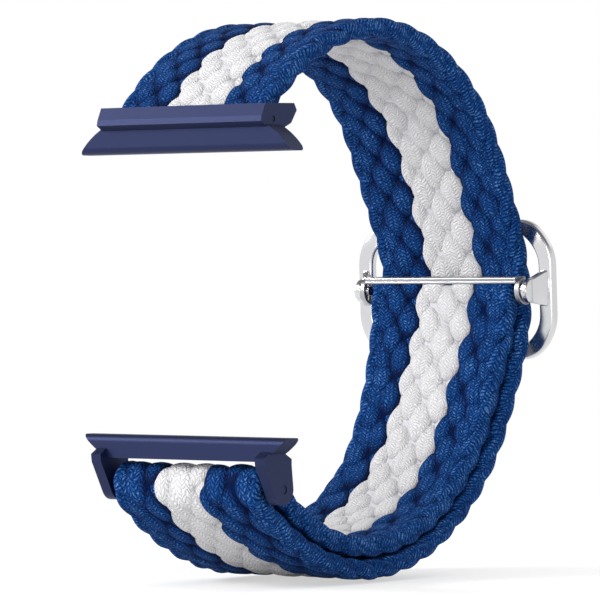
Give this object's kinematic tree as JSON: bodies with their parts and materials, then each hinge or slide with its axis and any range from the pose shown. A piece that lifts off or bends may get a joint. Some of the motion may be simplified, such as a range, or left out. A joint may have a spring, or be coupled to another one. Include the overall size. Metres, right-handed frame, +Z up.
{
  "type": "braided watch strap",
  "caption": "Flat braided loop strap in blue and white with a sliding polished frame buckle, folded-back tail and slide-in lugs with sprung lock buttons.",
  "frame": {"origin": "middle of the upper key, at its inner end", "axes": "+X across the band, +Y from the lugs towards the buckle, +Z up out of the upper slot"},
  "size_m": [0.035, 0.0661, 0.0747],
  "materials": {
    "braid_blue": "woven",
    "braid_white": "woven",
    "lug_blue": "satin",
    "polished_steel": "polished",
    "spring_steel": "satin",
    "fused_braid": "matte"
  },
  "bodies": {
    "strap": {"braid_blue_left": "braid_blue", "braid_white_centre": "braid_white", "braid_blue_right": "braid_blue", "tail_blue_left": "braid_blue", "tail_white_centre": "braid_white", "tail_blue_right": "braid_blue", "upper_end_seal": "fused_braid", "upper_lug_body": "lug_blue", "upper_end_pin": "spring_steel", "upper_lock_keeper": "spring_steel", "upper_lock_spring": "spring_steel"},
    "upper_button": {"upper_lock_button": "polished_steel"},
    "lower_lug": {"lower_lug_body": "lug_blue", "lower_cross_pin": "spring_steel", "lower_lock_keeper": "spring_steel", "lower_lock_spring": "spring_steel"},
    "lower_button": {"lower_lock_button": "polished_steel"},
    "buckle_bar": {"buckle_bar": "polished_steel", "tail_end_seal": "fused_braid"},
    "buckle_frame": {"buckle_frame": "polished_steel", "buckle_pivots": "spring_steel"}
  },
  "joints": [
    {"name": "buckle_slide", "type": "hinge", "parent": "strap", "child": "buckle_bar", "pos_m": [0, 0.03837, -0.0184], "axis": [1, 0, 0], "range_deg": [-8, 8], "deforming": ["tail_blue_left", "tail_white_centre", "tail_blue_right"]},
    {"name": "frame_rock", "type": "hinge", "parent": "buckle_bar", "child": "buckle_frame", "pos_m": [0, 0.05734, -0.01816], "axis": [1, 0, 0], "range_deg": [-2.5, 2.5]},
    {"name": "lower_lug_pivot", "type": "hinge", "parent": "strap", "child": "lower_lug", "pos_m": [0, 0.0012, -0.04344], "axis": [1, 0, 0], "range_deg": [-30, 30]},
    {"name": "upper_button_press", "type": "slide", "parent": "strap", "child": "upper_button", "axis": [0, -1, 0], "range_m": [0, 0.0005], "stiffness_N_per_m": 600, "deforming": ["upper_lock_spring"]},
    {"name": "lower_button_press", "type": "slide", "parent": "lower_lug", "child": "lower_button", "axis": [0, -1, 0], "range_m": [0, 0.0005], "stiffness_N_per_m": 600, "deforming": ["lower_lock_spring"]}
  ]
}
